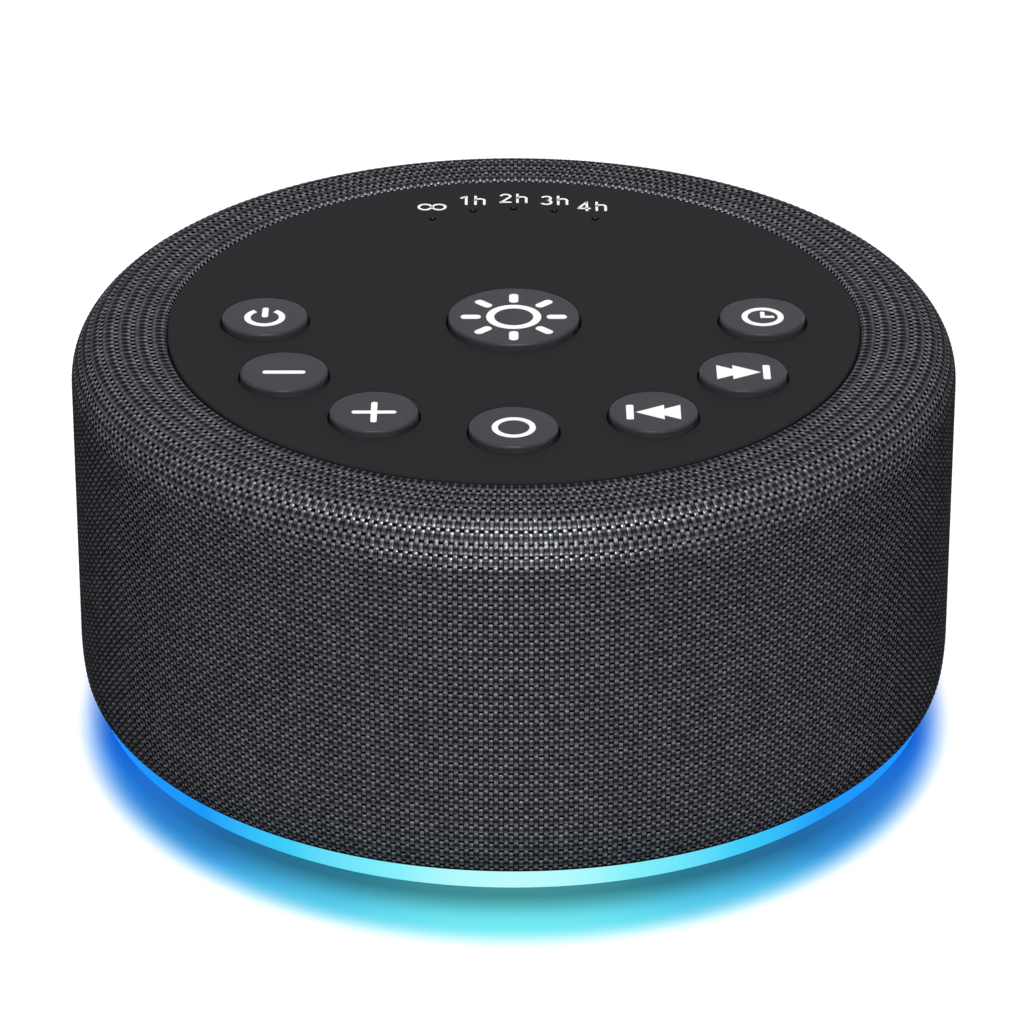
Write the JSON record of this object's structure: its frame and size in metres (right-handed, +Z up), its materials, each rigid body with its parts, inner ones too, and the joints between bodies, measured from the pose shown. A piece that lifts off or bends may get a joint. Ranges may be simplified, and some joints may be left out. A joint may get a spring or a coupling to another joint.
{
  "type": "white noise sound machine",
  "caption": "Round fabric-wrapped bedside sound machine with a key panel on top, a light ring round its foot and a power inlet at the back.",
  "frame": {"origin": "on the surface it stands on, under the centre of the round body", "axes": "+Z up, -Y towards the front (the mode key), +Y towards the power inlet, +X to the right"},
  "size_m": [0.105, 0.105, 0.0483],
  "materials": {
    "cover_fabric": "plain-woven polyester speaker cloth",
    "case_plastic": "moulded ABS with a fine texture",
    "panel_plastic": "moulded ABS, soft matte",
    "key_plastic": "moulded silicone-coated key caps, satin",
    "legend_white": "white ink, printed",
    "connector_black": "moulded, dull",
    "board_green": "glass-fibre board with green solder mask",
    "board_white": "glass-fibre board with white solder mask",
    "screw_steel": "zinc-plated steel",
    "capacitor_sleeve": "shrink sleeve",
    "connector_white": "moulded nylon",
    "plunger_plastic": "moulded nylon",
    "light_guide": "clear acrylic",
    "lamp_body": "moulded lamp with phosphor",
    "foam": "closed-cell foam",
    "frame_steel": "pressed steel, dark coated",
    "terminal_brass": "tinned solder lugs on a strip",
    "magnet_ferrite": "sintered ferrite",
    "plate_steel": "zinc-plated steel",
    "coil_copper": "enamelled copper wire on a former",
    "spider_cloth": "impregnated cloth",
    "cone_paper": "pressed paper pulp",
    "surround_rubber": "soft rubber",
    "ring_glow": "translucent polycarbonate, lit from inside",
    "foot_rubber": "moulded rubber",
    "socket_metal": "drawn steel, nickel plated",
    "lead_red": "PVC insulated wire",
    "lead_white": "PVC insulated wire"
  },
  "bodies": {
    "housing": {"base_cover": "case_plastic", "base_screws": "screw_steel", "board_capacitors": "capacitor_sleeve", "board_chips": "connector_black", "board_headers": "connector_white", "board_screws": "screw_steel", "chassis_screws": "screw_steel", "control_panel": "panel_plastic", "fabric_cover": "cover_fabric", "indicator_leds": "lamp_body", "indicator_light_guide": "light_guide", "inlet_bezel": "case_plastic", "lead_plugs": "connector_white", "light_board": "board_white", "light_board_screws": "screw_steel", "light_lead": "lead_white", "light_ring": "ring_glow", "main_board": "board_green", "outer_shell": "case_plastic", "power_board": "board_green", "power_board_screws": "screw_steel", "power_lead": "lead_red", "power_socket": "socket_metal", "ring_leds": "lamp_body", "rubber_feet": "foot_rubber", "socket_tongue": "connector_black", "speaker_back_plate": "plate_steel", "speaker_chassis": "case_plastic", "speaker_frame": "frame_steel", "speaker_gasket": "foam", "speaker_lead": "lead_red", "speaker_magnet": "magnet_ferrite", "speaker_screws": "screw_steel", "speaker_spider": "spider_cloth", "speaker_surround": "surround_rubber", "speaker_terminals": "terminal_brass", "speaker_top_plate": "plate_steel", "switch_bodies": "connector_black"},
    "power_key": {"power_key": "key_plastic", "power_switch_plunger": "plunger_plastic"},
    "volume_down_key": {"volume_down_key": "key_plastic", "volume_down_switch_plunger": "plunger_plastic"},
    "volume_up_key": {"volume_up_key": "key_plastic", "volume_up_switch_plunger": "plunger_plastic"},
    "mode_key": {"mode_key": "key_plastic", "mode_switch_plunger": "plunger_plastic"},
    "previous_key": {"previous_key": "key_plastic", "previous_switch_plunger": "plunger_plastic"},
    "next_key": {"next_key": "key_plastic", "next_switch_plunger": "plunger_plastic"},
    "timer_key": {"timer_key": "key_plastic", "timer_switch_plunger": "plunger_plastic"},
    "light_key": {"light_key": "key_plastic", "light_switch_plunger": "plunger_plastic"},
    "cone": {"speaker_cone": "cone_paper", "speaker_dust_cap": "cone_paper", "voice_coil": "coil_copper"}
  },
  "joints": [
    {"name": "power_press", "type": "slide", "parent": "housing", "child": "power_key", "axis": [0, 0, -1], "range_m": [0, 0.0005], "stiffness_N_per_m": 1500, "springref_m": -0.0002},
    {"name": "volume_down_press", "type": "slide", "parent": "housing", "child": "volume_down_key", "axis": [0, 0, -1], "range_m": [0, 0.0005], "stiffness_N_per_m": 1500, "springref_m": -0.0002},
    {"name": "volume_up_press", "type": "slide", "parent": "housing", "child": "volume_up_key", "axis": [0, 0, -1], "range_m": [0, 0.0005], "stiffness_N_per_m": 1500, "springref_m": -0.0002},
    {"name": "mode_press", "type": "slide", "parent": "housing", "child": "mode_key", "axis": [0, 0, -1], "range_m": [0, 0.0005], "stiffness_N_per_m": 1500, "springref_m": -0.0002},
    {"name": "previous_press", "type": "slide", "parent": "housing", "child": "previous_key", "axis": [0, 0, -1], "range_m": [0, 0.0005], "stiffness_N_per_m": 1500, "springref_m": -0.0002},
    {"name": "next_press", "type": "slide", "parent": "housing", "child": "next_key", "axis": [0, 0, -1], "range_m": [0, 0.0005], "stiffness_N_per_m": 1500, "springref_m": -0.0002},
    {"name": "timer_press", "type": "slide", "parent": "housing", "child": "timer_key", "axis": [0, 0, -1], "range_m": [0, 0.0005], "stiffness_N_per_m": 1500, "springref_m": -0.0002},
    {"name": "light_press", "type": "slide", "parent": "housing", "child": "light_key", "axis": [0, 0, -1], "range_m": [0, 0.0005], "stiffness_N_per_m": 1500, "springref_m": -0.0002},
    {"name": "cone_stroke", "type": "slide", "parent": "housing", "child": "cone", "axis": [0, 0, 1], "range_m": [-0.001, 0.001], "stiffness_N_per_m": 1000, "deforming": ["speaker_surround", "speaker_spider"]}
  ]
}
